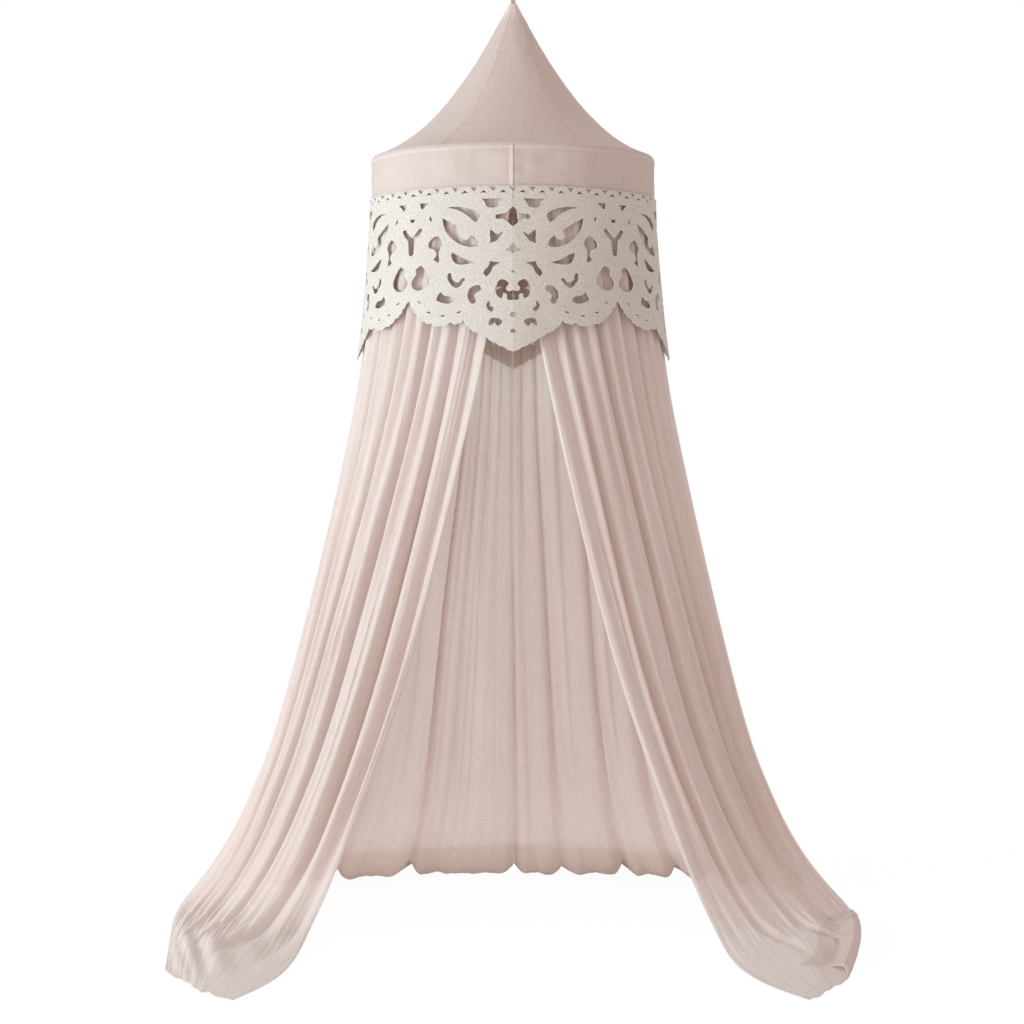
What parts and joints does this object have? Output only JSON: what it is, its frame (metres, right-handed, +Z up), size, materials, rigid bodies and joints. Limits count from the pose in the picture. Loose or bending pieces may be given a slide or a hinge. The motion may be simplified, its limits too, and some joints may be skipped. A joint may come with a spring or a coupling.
{
  "type": "bed crown canopy",
  "caption": "Hanging bed crown canopy: a gored tent roof on an oval hoop, a band, a pierced scalloped valance and sheer drapes parted at the front that trail on the floor.",
  "frame": {"origin": "where a ceiling hook bears, at the bottom of the bight inside the hanging loop", "axes": "+Z up along the hanging axis, -Y towards the parted front, +X to the right seen from the front"},
  "size_m": [1.395, 1.8798, 1.9926],
  "materials": {
    "sheer": "matte sheer voile, dusty pink",
    "roof_cloth": "matte doubled voile, dusty pink",
    "felt": "stiff pebbled felt, ivory, slight glitter",
    "tape": "woven cotton tape",
    "rod": "smooth springy rod",
    "ferrule": "drawn tube"
  },
  "bodies": {
    "root": {"hanging_loop": "tape", "tip_patch": "roof_cloth", "roof_gore_1": "roof_cloth", "roof_gore_2": "roof_cloth", "roof_gore_3": "roof_cloth", "roof_gore_4": "roof_cloth", "roof_gore_5": "roof_cloth", "roof_gore_6": "roof_cloth", "hoop_rod_1": "rod", "hoop_rod_2": "rod", "hoop_rod_3": "rod", "hoop_rod_4": "rod", "hoop_ferrule_1": "ferrule", "hoop_ferrule_2": "ferrule", "hoop_ferrule_3": "ferrule", "hoop_ferrule_4": "ferrule", "hoop_casing": "roof_cloth", "crown_band": "roof_cloth", "band_seam_tape": "tape", "heading_tape": "tape", "valance_front_right": "felt", "valance_rear_right": "felt", "valance_rear_left": "felt", "valance_front_left": "felt", "drape_front_left": "sheer", "drape_front_right": "sheer", "drape_rear_left": "sheer", "drape_rear_right": "sheer"}
  },
  "joints": []
}
